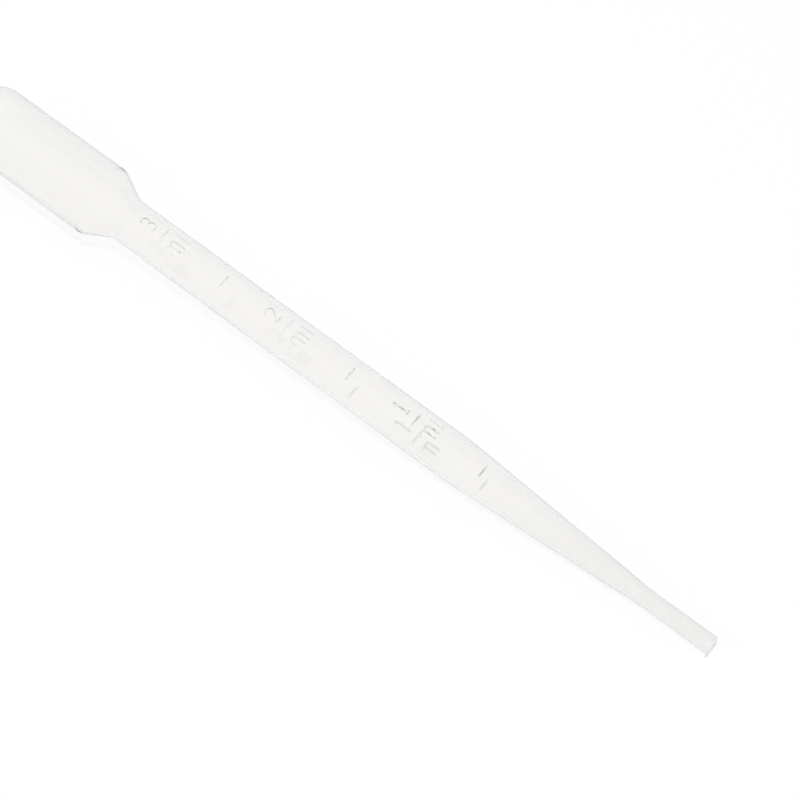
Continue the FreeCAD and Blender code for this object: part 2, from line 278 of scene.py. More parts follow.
def bulb_start():
    """Where the shoulder meets the bulb."""
    return stem_end() + bpy.context.scene.pipette_wall.shoulder_length


def bulb_end():
    """The middle of the bulb's closed end, under the weld."""
    return bulb_start() + bpy.context.scene.pipette_wall.bulb_length


# Outlines, as lists of points


def spaced(start, end, widest):
    """Evenly spaced values from start to end, no further apart than widest."""
    slack = 1e-6
    count = max(1, ceil(abs(end - start) / widest - slack))
    return [start + (end - start) * step / count for step in range(count + 1)]


def arc(centre, radius, first, last, chord):
    """Points along an arc, its angles in radians."""
    turns = spaced(first, last, chord / radius)
    return [Vector(centre) + radius * Vector((cos(turn), sin(turn))) for turn in turns]


def rounded(before, corner, after, radius, chord):
    """The arc that rounds a corner between two straight runs."""
    into = (before - corner).normalized()
    out = (after - corner).normalized()
    half = acos(max(-1, min(1, into.dot(out)))) / 2
    centre = corner + (into + out).normalized() * radius / sin(half)
    first = corner + into * radius / tan(half) - centre
    last = corner + out * radius / tan(half) - centre
    start = atan2(first.y, first.x)
    sweep = (atan2(last.y, last.x) - start + pi) % (2 * pi) - pi
    return arc(centre, radius, start, start + sweep, chord)


def wall_side(corners, sunk, chord):
    """One side of the wall from the mouth to the bulb's end: straight runs between corners, each given
    as its distance back, height and round, then the dome, sunk so far inside the outer one.
    """
    wall = bpy.context.scene.pipette_wall
    knuckle = wall.knuckle_radius - sunk
    crown = wall.crown_radius - sunk
    rise = wall.bulb_diameter / 2 - sunk - knuckle
    crown_centre = Vector((bulb_end() - wall.crown_radius, 0))
    knuckle_centre = crown_centre + Vector((sqrt((crown - knuckle) ** 2 - rise**2), rise))
    meeting = atan2(rise, knuckle_centre.x - crown_centre.x)
    places = [Vector(corner[:2]) for corner in corners]
    places.append(knuckle_centre + Vector((0, knuckle)))
    side = [places[0]]
    for before, corner, after, (_, _, radius) in zip(places, places[1:], places[2:], corners[1:]):
        side += rounded(before, corner, after, radius, chord) if radius else [corner]
    side += arc(knuckle_centre, knuckle, pi / 2, meeting, chord)
    side += arc(crown_centre, crown, meeting, 0, chord)[1:]
    return side


def lip_radius():
    """The radius halfway through the wall at the mouth, where its outside and its inside meet."""
    wall = bpy.context.scene.pipette_wall
    outer, inner = wall.tip_diameter / 2, wall.tip_bore / 2
    return outer - (outer - inner) / 2


def outside(chord):
    """The outside of the wall."""
    wall = bpy.context.scene.pipette_wall
    tip = wall.tip_diameter / 2
    stem = wall.stem_diameter / 2
    mouth = wall.mouth_diameter / 2
    corners = [
        (0, lip_radius(), 0),
        (0, mouth, wall.mouth_edge),
        (wall.flare_length, tip, wall.taper_round),
        (wall.tip_length, tip, wall.taper_round),
        (wall.tip_length + wall.taper_length, stem, wall.taper_round),
        (stem_end(), stem, wall.shoulder_hollow),
        (bulb_start(), wall.bulb_diameter / 2, wall.shoulder_round),
    ]
    return wall_side(corners, 0, chord)


def inside(chord):
    """The inside of the wall."""
    wall = bpy.context.scene.pipette_wall
    tip = wall.tip_bore / 2
    stem = wall.stem_diameter / 2 - wall.stem_wall
    corners = [
        (0, lip_radius(), 0),
        (0, tip, wall.mouth_edge),
        (wall.tip_length, tip, wall.taper_round),
        (wall.tip_length + wall.taper_length, stem, wall.taper_round),
        (stem_end(), stem, wall.shoulder_hollow + wall.stem_wall),
        (bulb_start(), wall.bulb_diameter / 2 - wall.bulb_wall, wall.shoulder_round - wall.bulb_wall),
    ]
    return wall_side(corners, wall.bulb_wall, chord)


def divided(points, widest):
    """The same outline with points no further apart than this."""
    rows = []
    for near, far in zip(points, points[1:]):
        rows += [near.lerp(far, along) for along in spaced(0, 1, widest / (far - near).length)[:-1]]
    return rows + [points[-1]]


# The engraving that the mould leaves on the wall: strokes in the flat, x to the right round the stem
# and y up it towards the bulb, in units of the figure's height. Each stroke is smooth, and two that
# meet at a corner overlap there.


def figure_one():
    return [[(-0.2, 0.8), (0, 1)], [(0, 1), (0, 0)], [(-0.17, 0), (0.17, 0)]]


def figure_two():
    bowl = arc((0, 0.73), 0.27, radians(165), radians(-38), FIGURE_STEP)
    return [[*bowl, (-0.28, 0)], [(-0.28, 0), (0.28, 0)]]


def figure_three():
    upper = arc((0, 0.76), 0.24, radians(155), radians(-90), FIGURE_STEP)
    lower = arc((0, 0.26), 0.26, radians(90), radians(-155), FIGURE_STEP)
    return [upper, lower]


def unit_ml():
    """The unit under the mark, its m one high: three legs with a round over each pair, and the l."""
    leg = 0.42
    strokes = [[(-2 * leg, 0), (-2 * leg, 1)]]
    for left in (-2 * leg, -leg):
        over = arc((left + leg / 2, 1 - leg / 2), leg / 2, pi, 0, FIGURE_STEP)
        strokes.append([*over, (left + leg, 0)])
    beside = leg * 1.2
    strokes.append([(beside, -0.02), (beside, 1.15)])
    return strokes


FIGURES = {1: figure_one, 2: figure_two, 3: figure_three}


def mark_strokes(number):
    """The strokes of one mark about its own level, in metres. A mark with no number is a short one."""
    marks = bpy.context.scene.pipette_marks
    half = (marks.long_mark if number else marks.short_mark) / 2
    strokes = [[Vector((-half, 0)), Vector((half, 0))]]
    if number:
        foot = Vector((marks.numeral_aside, marks.numeral_above))
        strokes += [
            [foot + Vector(point) * marks.numeral_height for point in stroke]
            for stroke in FIGURES[number]()
        ]
        foot = Vector((marks.unit_aside, -marks.unit_below - marks.unit_height))
        strokes += [
            [foot + Vector(point) * marks.unit_height for point in stroke] for stroke in unit_ml()
        ]
    return strokes


# Helpers for meshes and node trees


def make_line_mesh(name, strokes):
    """A mesh of open lines."""
    points, edges = [], []
    for stroke in strokes:
        edges += [(len(points) + i, len(points) + i + 1) for i in range(len(stroke) - 1)]
        points += [(point[0], point[1], 0) for point in stroke]
    mesh = bpy.data.meshes.new(name)
    mesh.from_pydata(points, edges, [])
    return bpy.data.objects.new(name, mesh)


def add_node(tree, kind, inputs=None, **settings):
    """A node with its settings made and its inputs set or linked."""
    node = tree.nodes.new(kind)
    for name, value in settings.items():
        setattr(node, name, value)
    for name, value in (inputs or {}).items():
        if isinstance(value, bpy.types.NodeSocket):
            tree.links.new(value, node.inputs[name])
        else:
            node.inputs[name].default_value = value
    return node


def calc(tree, operation, *values):
    """The result of a Math node."""
    return add_node(tree, "ShaderNodeMath", dict(enumerate(values)), operation=operation).outputs[0]


def eased(tree, value, low, high, from_value, to_value):
    """A value that changes smoothly from one number to another between low and high."""
    limits = {"From Min": low, "From Max": high, "To Min": from_value, "To Max": to_value}
    node = add_node(
        tree, "ShaderNodeMapRange", {"Value": value, **limits}, interpolation_type="SMOOTHSTEP"
    )
    return node.outputs["Result"]


def named(tree, name, kind="FLOAT"):
    """The value that is kept under a name."""
    kept = add_node(tree, "GeometryNodeInputNamedAttribute", {"Name": name}, data_type=kind)
    return kept.outputs["Attribute"]


def store(tree, geometry, name, value):
    """The geometry with a value of each of its faces kept under a name, for the finish to read."""
    kept = add_node(
        tree,
        "GeometryNodeStoreNamedAttribute",
        {"Geometry": geometry, "Name": name, "Value": value},
        data_type="FLOAT",
        domain="FACE",
    )
    return kept.outputs[0]


def new_tree(name, givens):
    """A Geometry Nodes tree with a mesh in, a mesh out and these named inputs, each with its type."""
    tree = bpy.data.node_groups.new(name, "GeometryNodeTree")
    tree.interface.new_socket("Geometry", in_out="INPUT", socket_type="NodeSocketGeometry")
    for given, kind in givens.items():
        tree.interface.new_socket(given, in_out="INPUT", socket_type=f"NodeSocket{kind}")
    tree.interface.new_socket("Geometry", in_out="OUTPUT", socket_type="NodeSocketGeometry")
    return tree, tree.nodes.new("NodeGroupInput").outputs


def finish_tree(tree, geometry, *finishes):
    """End a tree in real geometry and its finishes, each a material and the faces that have it. Lines
    and beads that only help to make the wall have None.
    """
    made = add_node(tree, "GeometryNodeRealizeInstances", {"Geometry": geometry})
    for material, faces in finishes:
        made = add_node(
            tree,
            "GeometryNodeSetMaterial",
            {"Geometry": made.outputs[0], "Selection": faces, "Material": material},
        )
    output = tree.nodes.new("NodeGroupOutput")
    tree.links.new(made.outputs[0], output.inputs[0])


def discard(helper):
    """Remove a helper object and its mesh."""
    mesh = helper.data
    bpy.data.objects.remove(helper)
    bpy.data.meshes.remove(mesh)


def run_tree(holder, tree, inputs):
    """What a tree makes of an object, as a plain mesh. The object is used up."""
    modifier = holder.modifiers.new(tree.name, "NODES")
    modifier.node_group = tree
    for item in tree.interface.items_tree:
        if item.in_out == "INPUT" and item.name in inputs:
            modifier[item.identifier] = inputs[item.name]
    if holder.name not in bpy.context.collection.objects:
        bpy.context.collection.objects.link(holder)
    depsgraph = bpy.context.evaluated_depsgraph_get()
    mesh = bpy.data.meshes.new_from_object(holder.evaluated_get(depsgraph))
    discard(holder)
    return mesh


# The trees


def bead_thickness(tree, given):
    """A stroke's thickness along itself, as a share of the whole: both ends are half a ball."""
    thinnest = 0.1
    along = tree.nodes.new("GeometryNodeSplineParameter").outputs["Length"]
    whole = tree.nodes.new("GeometryNodeSplineLength").outputs["Length"]
    from_end = calc(tree, "MINIMUM", along, calc(tree, "SUBTRACT", whole, along))
    into_ball = calc(tree, "MINIMUM", calc(tree, "DIVIDE", from_end, given["Bead radius"]), 1)
    short_of_ball = calc(tree, "SUBTRACT", 1, into_ball)
    squared = calc(tree, "MULTIPLY", short_of_ball, short_of_ball)
    return calc(tree, "MAXIMUM", calc(tree, "SQRT", calc(tree, "SUBTRACT", 1, squared)), thinnest)


def round_the_side(tree, turn):
    """0 on top of the stem, where the mould leaves a stroke full, and 1 round its sides, where the
    strokes sink lower and their painted shade is paler.
    """
    top, side = radians(10), radians(28)
    return eased(tree, calc(tree, "ABSOLUTE", turn), top, side, 0, 1)


def engraving_tree():
    """Sets the right strokes at each mark's level, lays them round the wall and sweeps a bead along
    each. A level's number says which strokes it has, and its radius how far out the beads' middles are.
    """
    givens = {"Marks": "Collection", "Bead radius": "Float", "Side sink": "Float"}
    tree, given = new_tree("Engraving", givens)
    marks = add_node(
        tree, "GeometryNodeCollectionInfo", {"Collection": given["Marks"], "Separate Children": True}
    )
    number = named(tree, NUMBER, "INT")
    placed = add_node(
        tree,
        "GeometryNodeInstanceOnPoints",
        {
            "Points": given["Geometry"],
            "Instance": marks.outputs[0],
            "Pick Instance": True,
            "Instance Index": number,
        },
    )
    real = add_node(tree, "GeometryNodeRealizeInstances", {"Geometry": placed.outputs[0]})
    lines = add_node(tree, "GeometryNodeMeshToCurve", {"Mesh": real.outputs[0]})
    fine = add_node(
        tree,
        "GeometryNodeResampleCurve",
        {"Curve": lines.outputs[0], "Length": calc(tree, "MULTIPLY", given["Bead radius"], BEAD_STEP)},
        mode="LENGTH",
    )
    radius = named(tree, RADIUS)
    position = tree.nodes.new("GeometryNodeInputPosition").outputs[0]
    flat = add_node(tree, "ShaderNodeSeparateXYZ", {0: position}).outputs
    turn = calc(tree, "DIVIDE", flat["X"], radius)
    sink = calc(tree, "MULTIPLY", round_the_side(tree, turn), given["Side sink"])
    radius = calc(tree, "SUBTRACT", radius, sink)
    rolled = add_node(
        tree,
        "GeometryNodeSetPosition",
        {"Geometry": fine.outputs[0], "Position": turned_place(tree, flat["Y"], radius, turn)},
    )
    ball = add_node(
        tree,
        "GeometryNodeCurvePrimitiveCircle",
        {"Resolution": BEAD_SIDES, "Radius": given["Bead radius"]},
    )
    beads = add_node(
        tree,
        "GeometryNodeCurveToMesh",
        {
            "Curve": rolled.outputs[0],
            "Profile Curve": ball.outputs[0],
            "Scale": bead_thickness(tree, given),
            "Fill Caps": True,
        },
    )
    finish_tree(tree, beads.outputs[0], (None, True))
    return tree


def row_and_column(tree, section, ring):
    """A grid of a row for each point of the section and a column for each point of the ring, with
    the section's place and the ring's turn at each of its points.
    """
    counts = [
        add_node(tree, "GeometryNodeAttributeDomainSize", {"Geometry": line}).outputs["Point Count"]
        for line in (section, ring)
    ]
    grid = add_node(
        tree, "GeometryNodeMeshGrid", {"Vertices X": counts[0], "Vertices Y": counts[1]}
    )
    index = tree.nodes.new("GeometryNodeInputIndex").outputs[0]
    position = tree.nodes.new("GeometryNodeInputPosition").outputs[0]
    places = []
    for line, operation in ((section, "DIVIDE_FLOOR"), (ring, "MODULO")):
        which = add_node(
            tree, "FunctionNodeIntegerMath", {0: index, 1: counts[1]}, operation=operation
        )
        sample = add_node(
            tree,
            "GeometryNodeSampleIndex",
            {"Geometry": line, "Value": position, "Index": which.outputs[0]},
            data_type="FLOAT_VECTOR",
        )
        places.append(add_node(tree, "ShaderNodeSeparateXYZ", {0: sample.outputs[0]}).outputs)
    (distance, radius, is_outside), (turn, _, _) = places
    return grid.outputs["Mesh"], distance, radius, is_outside, turn


def turned_place(tree, distance, radius, turn):
    """The place of a point of the wall in the pipette's own frame."""
    return add_node(
        tree,
        "ShaderNodeCombineXYZ",
        {
            "X": calc(tree, "MULTIPLY", distance, -1),
            "Y": calc(tree, "MULTIPLY", radius, calc(tree, "SINE", turn)),
            "Z": calc(tree, "MULTIPLY", radius, calc(tree, "COSINE", turn)),
        },
    ).outputs[0]


def parting_relief(tree, given, radius, turn):
    """How far the mould's parting line lifts the wall, a quarter turn to each side of the top. It
    dies out towards the middle of the closed end.
    """
    gone, whole = 0.5 * MM, 1.2 * MM
    from_line = calc(tree, "ABSOLUTE", calc(tree, "SUBTRACT", calc(tree, "ABSOLUTE", turn), pi / 2))
    across = calc(tree, "MULTIPLY", radius, from_line)
    half_width = calc(tree, "MULTIPLY", given["Parting width"], 0.5)
    relief = eased(tree, across, 0, half_width, given["Parting height"], 0)
    return calc(tree, "MULTIPLY", relief, eased(tree, radius, gone, whole, 0, 1))


def uneven(tree, given, place, radius, seed):
    """A slow unevenness of the blown wall, longer along it than round it, that dies out towards the
    middle of its closed end.
    """
    stretch = (0.4, 1, 1)
    patch = 9 * MM
    calm = 3 * MM
    long = add_node(tree, "ShaderNodeVectorMath", {0: place, 1: stretch}, operation="MULTIPLY")
    noise = add_node(
        tree,
        "ShaderNodeTexNoise",
        {"Vector": long.outputs[0], "W": seed, "Scale": 1 / patch, "Detail": 1.0},
        noise_dimensions="4D",
    )
    centred = calc(tree, "MULTIPLY", calc(tree, "SUBTRACT", noise.outputs["Fac"], 0.5), 2)
    reach = calc(tree, "MULTIPLY", centred, given["Unevenness"])
    return calc(tree, "MULTIPLY", reach, eased(tree, radius, 0, calm, 0, 1))


def thickness(tree, given, distance, is_outside, turn):
    """How much darker than elsewhere the wall is tinted: all round the drawn tip, where the wall is
    thicker, and down one side, which is painted shade, as that side is no thicker.
    """
    shaded_side_narrowness = 4
    tip_share = 0.35
    # Painted shade down one side of the wall, where its far edge gets less light; the wall there is no
    # thicker
    to_shaded_side = calc(tree, "MAXIMUM", calc(tree, "SINE", turn), 0)
    aside = calc(tree, "POWER", to_shaded_side, shaded_side_narrowness)
    drawn = eased(tree, distance, given["Taper start"], given["Taper end"], tip_share, 0)
    both = calc(tree, "MULTIPLY", is_outside, calc(tree, "ADD", aside, drawn))
    at_points = add_node(
        tree, "GeometryNodeFieldOnDomain", {"Value": both}, data_type="FLOAT", domain="POINT"
    )
    return at_points.outputs[0]


def stroke_shade_strength(tree):
    """How strongly a stroke's painted shade shows, and how much lamp light it holds back: 1 on top of
    the stem's lower half, less round its sides and half of that above.
    """
    lost_on_side = 0.85
    paler_from, whole = -84 * MM, -74 * MM
    left_above = 0.5
    position = tree.nodes.new("GeometryNodeInputPosition").outputs[0]
    place = add_node(tree, "ShaderNodeSeparateXYZ", {0: position}).outputs
    turn = calc(tree, "ARCTAN2", place["Y"], place["Z"])
    lost = calc(tree, "MULTIPLY", round_the_side(tree, turn), lost_on_side)
    paling_above = eased(tree, place["X"], paler_from, whole, left_above, 1)
    return calc(tree, "MULTIPLY", calc(tree, "SUBTRACT", 1, lost), paling_above)


def weld_bead(tree, given):
    """The weld over the bulb's closed end, swept along an arc in the mould's parting plane. Its edges
    are soft and it tapers to both ends.
    """
    half_arc = 0.66
    arc_points, corner_points = 48, 5
    edge_round = 0.18 * MM
    taper_start, taper_share = 0.25, 0.3
    path = add_node(
        tree,
        "GeometryNodeCurveArc",
        {
            "Resolution": arc_points,
            "Radius": given["Weld radius"],
            "Start Angle": pi - half_arc,
            "Sweep Angle": 2 * half_arc,
        },
    )
    profile = add_node(
        tree,
        "GeometryNodeCurvePrimitiveQuadrilateral",
        {"Width": given["Weld thickness"], "Height": given["Weld thickness"]},
    )
    softened = add_node(
        tree,
        "GeometryNodeFilletCurve",
        {
            "Curve": profile.outputs[0],
            "Count": corner_points,
            "Radius": edge_round,
            "Limit Radius": True,
        },
        mode="POLY",
    )
    along = tree.nodes.new("GeometryNodeSplineParameter").outputs["Factor"]
    from_middle = calc(tree, "ABSOLUTE", calc(tree, "SUBTRACT", along, 0.5))
    bead = add_node(
        tree,
        "GeometryNodeCurveToMesh",
        {
            "Curve": path.outputs[0],
            "Profile Curve": softened.outputs[0],
            "Scale": eased(tree, from_middle, taper_start, 0.5, 1, taper_share),
            "Fill Caps": True,
        },
    )
    shift = add_node(tree, "ShaderNodeCombineXYZ", {"X": given["Weld centre"]})
    return add_node(
        tree,
        "GeometryNodeTransform",
        {"Geometry": bead.outputs[0], "Translation": shift.outputs[0]},
    ).outputs[0]


def at_mouth(tree):
    """1 on the face where the tip is cut off and on its rounded edges, else 0."""
    reach = 0.13 * MM
    position = tree.nodes.new("GeometryNodeInputPosition").outputs[0]
    forward = add_node(tree, "ShaderNodeSeparateXYZ", {0: position}).outputs["X"]
    return calc(tree, "GREATER_THAN", forward, -reach)


def wall_tree():
    """Turns the section about the axis, raises what stands out of it and lays it on the table."""
    outside_seed = 7
    touching = 1e-7
    tree, given = new_tree(
        "Turned wall",
        {
            "Ring": "Object",
            "Engraving": "Object",
            "Parting width": "Float",
            "Parting height": "Float",
            "Unevenness": "Float",
            "Taper start": "Float",
            "Taper end": "Float",
            "Weld thickness": "Float",
            "Weld radius": "Float",
            "Weld centre": "Float",
            "Lying place": "Vector",
            "Lying turn": "Vector",
            "Wall finish": "Material",
            "Cut finish": "Material",
        },
    )
    ring = add_node(tree, "GeometryNodeObjectInfo", {"Object": given["Ring"]}).outputs["Geometry"]
    grid, distance, radius, is_outside, turn = row_and_column(tree, given["Geometry"], ring)
    raised = calc(tree, "MULTIPLY", is_outside, parting_relief(tree, given, radius, turn))
    true_place = turned_place(tree, distance, radius, turn)
    seed = calc(tree, "MULTIPLY", is_outside, outside_seed)
    strayed = uneven(tree, given, true_place, radius, seed)
    full = calc(tree, "ADD", radius, calc(tree, "ADD", raised, strayed))
    shaped = add_node(
        tree,
        "GeometryNodeSetPosition",
        {"Geometry": grid, "Position": turned_place(tree, distance, full, turn)},
    )
    # Where the tip is thicker, and where shade is painted down one side
    thicker_tip_and_shaded_side = thickness(tree, given, distance, is_outside, turn)
    noted = store(tree, shaped.outputs[0], THICK_TIP_AND_PAINTED_SIDE, thicker_tip_and_shaded_side)
    closed = add_node(
        tree, "GeometryNodeMergeByDistance", {"Geometry": noted, "Distance": touching}
    )
    engraving = add_node(tree, "GeometryNodeObjectInfo", {"Object": given["Engraving"]})
    # How strongly each stroke's painted shade shows
    strokes = store(tree, engraving.outputs["Geometry"], PAINTED_STROKE_SHADE_MASK, stroke_shade_strength(tree))
    island = tree.nodes.new("GeometryNodeInputMeshIsland").outputs["Island Index"]
    beads = add_node(
        tree,
        "GeometryNodeSplitToInstances",
        {"Geometry": strokes, "Group ID": island},
        domain="FACE",
    )
    joined = add_node(tree, "GeometryNodeMeshBoolean", operation="UNION", solver="MANIFOLD")
    for part in (closed.outputs[0], weld_bead(tree, given), beads.outputs[0]):
        tree.links.new(part, joined.inputs["Mesh 2"])
    laid = add_node(
        tree,
        "GeometryNodeTransform",
        {
            "Geometry": store(tree, joined.outputs["Mesh"], CUT, at_mouth(tree)),
            "Translation": given["Lying place"],
            "Rotation": given["Lying turn"],
        },
    )
    position = tree.nodes.new("GeometryNodeInputPosition").outputs[0]
    on_table = add_node(
        tree, "ShaderNodeVectorMath", {0: position, 1: (-1, -1, 0)}, operation="MAXIMUM"
    )
    flattened = add_node(
        tree,
        "GeometryNodeSetPosition",
        {"Geometry": laid.outputs[0], "Position": on_table.outputs[0]},
    )
    finish_tree(
        tree,
        flattened.outputs[0],
        (given["Wall finish"], True),
        (given["Cut finish"], named(tree, CUT)),
    )
    return tree


# The finish


def blend(tree, factor, first, second):
    """A colour between two others."""
    colours = [one if isinstance(one, bpy.types.NodeSocket) else (*one, 1) for one in (first, second)]
    node = add_node(
        tree, "ShaderNodeMix", {0: factor, 6: colours[0], 7: colours[1]}, data_type="RGBA"
    )
    return node.outputs[2]


def object_noise(tree, place, patch, detail):
    """A noise on the object's own coordinates, its patches of this size."""
    noise = add_node(
        tree, "ShaderNodeTexNoise", {"Vector": place, "Scale": 1 / patch, "Detail": detail}
    )
    return noise.outputs["Fac"]


def moulded_relief(tree, along):
    """The surface's slight relief: the mould's fine grain, and faint lines drawn along the wall."""
    finish = bpy.context.scene.pipette_plastic
    grain_size, grain_height = 0.5 * MM, 0.02 * MM
    line_width, line_height = 0.9 * MM, 0.05 * MM
    line_stretch = (0.04, 1, 1)
    stretched = add_node(tree, "ShaderNodeMapping", {"Vector": along, "Scale": line_stretch})
    lines = object_noise(tree, stretched.outputs[0], line_width, 2.0)
    grained = add_node(
        tree,
        "ShaderNodeBump",
        {
            "Strength": finish.grain,
            "Distance": grain_height,
            "Height": object_noise(tree, along, grain_size, 3.0),
        },
    )
    drawn = add_node(
        tree,
        "ShaderNodeBump",
        {
            "Strength": finish.draw_lines,
            "Distance": line_height,
            "Height": lines,
            "Normal": grained.outputs[0],
        },
    )
    return drawn.outputs[0]


def let_through(tree, surface, passed):
    """The surface, through which the room's light falls straight, so much of it as passed says."""
    path = tree.nodes.new("ShaderNodeLightPath").outputs
    clear = add_node(tree, "ShaderNodeBsdfTransparent", {"Color": passed}).outputs[0]
    for ray in ("Is Shadow Ray", "Is Diffuse Ray"):
        surface = add_node(
            tree, "ShaderNodeMixShader", {0: path[ray], 1: surface, 2: clear}
        ).outputs[0]
    return surface


def plastic_material():
    """Natural low-density polyethylene: clear enough to see through, hazed by its satin surface. The
    raised strokes are painted darker, in patches, as shade for the dark lines that light bent through
    them would show.
    """
    finish = bpy.context.scene.pipette_plastic
    patch_size = 1.1 * MM
    faint_below, full = 0.4, 0.62
    faintest_share = 0.25
    material = bpy.data.materials.new("natural_polyethylene")
    material.use_nodes = True
    tree = material.node_tree
    shader = tree.nodes["Principled BSDF"]
    shader.inputs["Roughness"].default_value = finish.roughness
    shader.inputs["IOR"].default_value = finish.refraction
    shader.inputs["Transmission Weight"].default_value = finish.clearness

    coordinates = tree.nodes.new("ShaderNodeTexCoord")
    along = add_node(
        tree,
        "ShaderNodeMapping",
        {"Vector": coordinates.outputs["Object"], "Rotation": (0, -LYING_ANGLE, 0)},
        vector_type="POINT",
    ).outputs[0]
    tree.links.new(moulded_relief(tree, along), shader.inputs["Normal"])

    thicker_tip_and_shaded_side = add_node(tree, "ShaderNodeAttribute", attribute_name=THICK_TIP_AND_PAINTED_SIDE).outputs["Fac"]
    stroke = add_node(tree, "ShaderNodeAttribute", attribute_name=PAINTED_STROKE_SHADE_MASK).outputs["Fac"]
    patches = object_noise(tree, along, patch_size, 1.0)
    # Painted shade on the strokes, paler in patches
    stroke_shade_in_patches = calc(
        tree, "MULTIPLY", stroke, eased(tree, patches, faint_below, full, faintest_share, 1)
    )
    # Darker round the thick tip, and painted shade down one side
    wall_with_side_shade = blend(tree, thicker_tip_and_shaded_side, finish.tint, finish.thick_tip_and_side_shade_tint)
    with_stroke_shade = blend(tree, stroke_shade_in_patches, wall_with_side_shade, finish.stroke_painted_shade)
    tree.links.new(with_stroke_shade, shader.inputs["Base Color"])

    passed = blend(tree, stroke, (finish.shade,) * 3, (finish.stroke_shade,) * 3)
    output = tree.nodes["Material Output"]
    tree.links.new(let_through(tree, shader.outputs[0], passed), output.inputs["Surface"])
    depth = add_node(
        tree,
        "ShaderNodeVolumeAbsorption",
        {"Color": (*finish.depth_tint, 1), "Density": finish.depth_density},
    )
    tree.links.new(depth.outputs[0], output.inputs["Volume"])
    return material


def cut_material():
    """The matt white face that the knife leaves at the mouth."""
    finish = bpy.context.scene.pipette_plastic
    line_width = 0.15 * MM
    line_stretch = (1, 1, 0.1)
    material = bpy.data.materials.new("cut_polyethylene")
    material.use_nodes = True
    tree = material.node_tree
    shader = tree.nodes["Principled BSDF"]
    shader.inputs["Roughness"].default_value = finish.cut_roughness
    coordinates = tree.nodes.new("ShaderNodeTexCoord")
    knife_lines = add_node(
        tree, "ShaderNodeMapping", {"Vector": coordinates.outputs["Object"], "Scale": line_stretch}
    )
    lines = object_noise(tree, knife_lines.outputs[0], line_width, 2.0)
    pale = blend(tree, lines, finish.cut_tint, finish.cut_pale_tint)
    tree.links.new(pale, shader.inputs["Base Color"])
    return material


def looked_at(tree):
    """1 where something is looked at directly, in a reflection or through the plastic, else 0."""
    path = tree.nodes.new("ShaderNodeLightPath").outputs
    seen = calc(tree, "MAXIMUM", path["Is Camera Ray"], path["Is Glossy Ray"])
    return calc(tree, "MAXIMUM", seen, path["Is Transmission Ray"])


def table_material():
    """Matt white. Whatever looks at it directly or through the plastic sees it a little whiter."""
    studio = bpy.context.scene.pipette_studio
    material = bpy.data.materials.new("white_table")
    material.use_nodes = True
    tree = material.node_tree
    tree.nodes.clear()
    matt = add_node(tree, "ShaderNodeBsdfDiffuse", {"Color": (*studio.table_colour, 1)})
    bright = add_node(tree, "ShaderNodeEmission", {"Strength": 1.0})
    whiter = calc(tree, "MULTIPLY", looked_at(tree), studio.table_glow)
    both = add_node(
        tree, "ShaderNodeMixShader", {0: whiter, 1: matt.outputs[0], 2: bright.outputs[0]}
    )
    output = tree.nodes.new("ShaderNodeOutputMaterial")
    tree.links.new(both.outputs[0], output.inputs["Surface"])
    return material


# The operators


def section_object():
    """The section of the wall from the bulb's end along its outside, round the mouth and back along
    its inside. Each point's third coordinate is 1 outside and 0 inside.
    """
    outer = divided(outside(ARC_STEP), WIDE_STEP)
    inner = divided(inside(ARC_STEP), WIDE_STEP)
    points = [(*point, 1) for point in reversed(outer)] + [(*point, 0) for point in inner[1:]]
    mesh = bpy.data.meshes.new("section")
    mesh.from_pydata(points, [(i, i + 1) for i in range(len(points) - 1)], [])
    return bpy.data.objects.new("section", mesh)


def ring_object():
    """The turns of the wall's columns, close together at the two parting lines."""
    wall = bpy.context.scene.pipette_wall
    parting = wall.parting_width / wall.stem_diameter
    turns = []
    for start, end, widest in (
        (-pi, -pi / 2 - parting, WIDE_TURN),
        (-pi / 2 - parting, -pi / 2 + parting, parting / 3),
        (-pi / 2 + parting, pi / 2 - parting, WIDE_TURN),
        (pi / 2 - parting, pi / 2 + parting, parting / 3),
        (pi / 2 + parting, pi, WIDE_TURN),
    ):
        turns += spaced(start, end, widest)[:-1]
    return make_line_mesh("ring", [[(turn, 0) for turn in [*turns, pi]]])


def engraving_object():
    """All the strokes, as beads that lie round the wall."""
    marks = bpy.context.scene.pipette_marks
    patterns = bpy.data.collections.new("engraving_patterns")
    bpy.context.scene.collection.children.link(patterns)
    for number in range(WHOLE_MARKS + 1):
        patterns.objects.link(make_line_mesh(f"engraving_{number}", mark_strokes(number)))
    levels = mark_levels()
    places = make_line_mesh("levels", [[(0, distance)] for distance, _ in levels])
    chosen = places.data.attributes.new(NUMBER, "INT", "POINT")
    chosen.data.foreach_set("value", [number for _, number in levels])
    outward = places.data.attributes.new(RADIUS, "FLOAT", "POINT")
    sunk = marks.stroke / 2 - marks.height
    outward.data.foreach_set("value", [wall_radius(distance) - sunk for distance, _ in levels])
    inputs = {"Marks": patterns, "Bead radius": marks.stroke / 2, "Side sink": marks.side_sink}
    mesh = run_tree(places, engraving_tree(), inputs)
    for pattern in list(patterns.objects):
        discard(pattern)
    bpy.data.collections.remove(patterns)
    mesh.attributes.remove(mesh.attributes[NUMBER])
    return bpy.data.objects.new("engraving", mesh)


def weld_arc():
    """The radius of the weld's outer line. It passes over the crown, the weld's height above it, and
    meets the bulb where the crown ends.
    """
    wall = bpy.context.scene.pipette_wall
    crown_edge = (
        wall.crown_radius
        * (wall.bulb_diameter / 2 - wall.knuckle_radius)
        / (wall.crown_radius - wall.knuckle_radius)
    )
    rise = wall.crown_radius - sqrt(wall.crown_radius**2 - crown_edge**2) + wall.weld_height
    return (crown_edge**2 + rise**2) / 2 / rise


